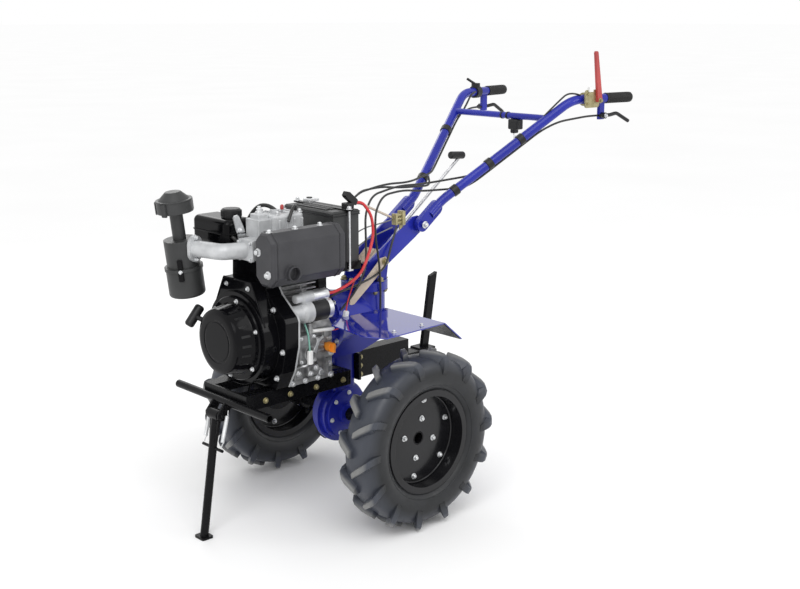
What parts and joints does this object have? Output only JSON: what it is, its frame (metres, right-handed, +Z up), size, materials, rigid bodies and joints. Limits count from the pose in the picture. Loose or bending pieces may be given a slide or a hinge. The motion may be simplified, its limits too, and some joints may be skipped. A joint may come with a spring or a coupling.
{
  "type": "power tiller",
  "caption": "Two-wheeled walk-behind power tiller with an air-cooled diesel engine, lugged tyres, front parking stand and long blue handlebars with control levers.",
  "frame": {"origin": "on the ground, in the middle of the overall length and width", "axes": "+X forward to the engine end, +Y to the machine's left, +Z up"},
  "size_m": [1.4364, 0.716, 1.219],
  "materials": {
    "blue_paint": "gloss enamel",
    "black_paint": "gloss enamel",
    "shield_paint": "satin heat-proof paint",
    "red_paint": "gloss enamel",
    "cast_aluminium": "as cast",
    "zinc": "zinc plated",
    "yellow_zinc": "yellow zinc plated",
    "bare_steel": "drawn",
    "tyre_rubber": "matt",
    "grip_rubber": "matt",
    "black_plastic": "moulded",
    "orange_plastic": "moulded",
    "cable_jacket": "smooth",
    "red_jacket": "smooth"
  },
  "bodies": {
    "chassis": {"gearbox_case": "blue_paint", "gear_head_cover": "blue_paint", "final_drive_covers": "blue_paint", "clutch_housing": "blue_paint", "frame_rail_left": "black_paint", "frame_rail_right": "black_paint", "frame_cross_plate": "black_paint", "front_bumper": "black_paint", "crankcase": "cast_aluminium", "fan_shroud": "black_paint", "recoil_starter": "black_paint", "recoil_handle": "black_plastic", "cylinder_barrel": "cast_aluminium", "cylinder_head": "cast_aluminium", "fuel_tank": "black_paint", "fuel_cap": "black_plastic", "tank_bracket": "black_paint", "air_cleaner": "black_paint", "precleaner": "black_plastic", "intake_pipe": "cast_aluminium", "muffler": "shield_paint", "starter_motor": "cast_aluminium", "injection_pump": "cast_aluminium", "oil_filler_cap": "orange_plastic", "battery": "black_plastic", "battery_tray": "black_paint", "battery_post": "black_paint", "battery_hold_down": "zinc", "battery_leads": "red_jacket", "mudguard_left": "blue_paint", "mudguard_right": "blue_paint", "hitch_bracket": "black_paint", "depth_bar": "black_paint", "handle_bracket": "blue_paint", "gear_lever": "bare_steel", "gear_lever_knob": "black_plastic"},
    "wheel_left": {"tyre_left": "tyre_rubber", "rim_left": "black_paint", "hub_left": "black_paint"},
    "wheel_right": {"tyre_right": "tyre_rubber", "rim_right": "black_paint", "hub_right": "black_paint"},
    "stand": {"front_stand": "black_paint", "stand_springs": "zinc"},
    "handlebar": {"handle_arm_left": "blue_paint", "handle_arm_right": "blue_paint", "crossbar": "blue_paint", "grips": "grip_rubber", "lever_brackets": "blue_paint", "brake_levers": "black_plastic", "clutch_clamp": "yellow_zinc", "clutch_lever": "red_paint", "throttle_lever": "black_plastic", "stop_switch": "black_plastic", "control_cables": "cable_jacket"}
  },
  "joints": [
    {"name": "wheel_left_spin", "type": "hinge", "parent": "chassis", "child": "wheel_left", "pos_m": [0.2345, 0.3, 0.24], "axis": [0, 1, 0], "continuous": true},
    {"name": "wheel_right_spin", "type": "hinge", "parent": "chassis", "child": "wheel_right", "pos_m": [0.2345, -0.3, 0.24], "axis": [0, 1, 0], "continuous": true},
    {"name": "stand_fold", "type": "hinge", "parent": "chassis", "child": "stand", "pos_m": [0.6505, -0.015, 0.325], "axis": [0, 1, 0], "range_deg": [0, 100], "deforming": ["stand_springs"]},
    {"name": "handlebar_tilt", "type": "hinge", "parent": "chassis", "child": "handlebar", "pos_m": [-0.0275, -0.015, 0.745], "axis": [0, 1, 0], "range_deg": [-12, 15], "deforming": ["control_cables"]}
  ]
}
